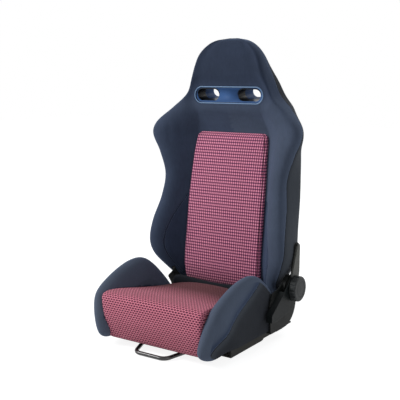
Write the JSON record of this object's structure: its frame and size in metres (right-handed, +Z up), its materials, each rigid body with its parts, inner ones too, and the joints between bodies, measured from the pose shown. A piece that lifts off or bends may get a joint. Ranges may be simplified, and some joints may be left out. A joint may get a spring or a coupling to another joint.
{
  "type": "racing seat",
  "caption": "Reclining bucket seat with winged backrest, fixed head section with belt slots, slide rails, recliner knob and release bar.",
  "frame": {"origin": "centre of the four floor bolts, on the floor plane", "axes": "+Z up; the seat faces -Y; +X towards the recliner knob's side"},
  "size_m": [0.5391, 0.511, 0.893],
  "materials": {
    "black_steel": "satin black paint",
    "black_gloss_steel": "gloss black paint",
    "zinc_steel": "zinc plate",
    "nylon": "moulded",
    "velour_foam": "dark navy velour over foam",
    "check_cloth_foam": "crimson woven check over foam",
    "grey_plastic": "matt moulded",
    "black_plastic": "grained",
    "blue_grey_plastic": "satin moulded"
  },
  "bodies": {
    "floor_rails": {"floor_strap_front": "black_steel", "floor_strap_rear": "black_steel", "foot_tray_l": "black_steel", "foot_tray_r": "black_steel", "lower_rail_l": "black_steel", "lower_rail_r": "black_steel"},
    "seat_base": {"upper_rail_l": "black_steel", "upper_rail_r": "black_steel", "glides_l": "nylon", "glides_r": "nylon", "riser_l": "black_steel", "riser_r": "black_steel", "seat_pan": "black_steel", "cross_tube_front": "black_steel", "cross_tube_rear": "black_steel", "bar_bracket_l": "black_steel", "bar_bracket_r": "black_steel", "bar_spring_l": "zinc_steel", "bar_spring_r": "zinc_steel", "cushion_pad": "check_cloth_foam", "cushion_tail": "velour_foam", "cushion_bolster_l": "velour_foam", "cushion_bolster_r": "velour_foam", "recliner_bracket": "black_steel", "recliner_disc": "black_steel", "lower_cover": "grey_plastic", "hinge_bracket": "black_steel"},
    "release_bar": {"release_bar": "black_gloss_steel", "latch_pawl_l": "zinc_steel", "latch_pawl_r": "zinc_steel"},
    "backrest": {"pivot_hub": "black_steel", "hinge_pin": "black_steel", "recliner_arm": "black_steel", "hinge_arm": "black_steel", "arm_tie_l": "black_steel", "arm_tie_r": "black_steel", "upper_cover": "grey_plastic", "frame_upright_l": "black_steel", "frame_upright_r": "black_steel", "frame_hoop": "black_steel", "frame_cross_low": "black_steel", "frame_cross_top": "black_steel", "spring_mat": "zinc_steel", "back_foam": "velour_foam", "back_pad": "check_cloth_foam", "back_panel": "black_plastic", "bezel_front": "blue_grey_plastic", "bezel_rear": "blue_grey_plastic"},
    "knob": {"knob_shaft": "zinc_steel", "recline_knob": "grey_plastic", "knob_cap": "grey_plastic"}
  },
  "joints": [
    {"name": "seat_slide", "type": "slide", "parent": "floor_rails", "child": "seat_base", "axis": [0, -1, 0], "range_m": [-0.09, 0.09]},
    {"name": "bar_lift", "type": "hinge", "parent": "seat_base", "child": "release_bar", "pos_m": [0, -0.215, 0.0145], "axis": [-1, 0, 0], "range_deg": [0, 7], "stiffness_Nm_per_rad": 8, "springref_deg": -11.46},
    {"name": "recline", "type": "hinge", "parent": "seat_base", "child": "backrest", "pos_m": [0, 0.067, 0.154], "axis": [-1, 0, 0], "range_deg": [-15, 50]},
    {"name": "knob_turn", "type": "hinge", "parent": "seat_base", "child": "knob", "pos_m": [0.264, 0.067, 0.154], "axis": [-1, 0, 0], "range_deg": [-450, 1500]}
  ],
  "couplings": [
    {"joint": "knob_turn", "follows": "recline", "ratio": 30}
  ]
}
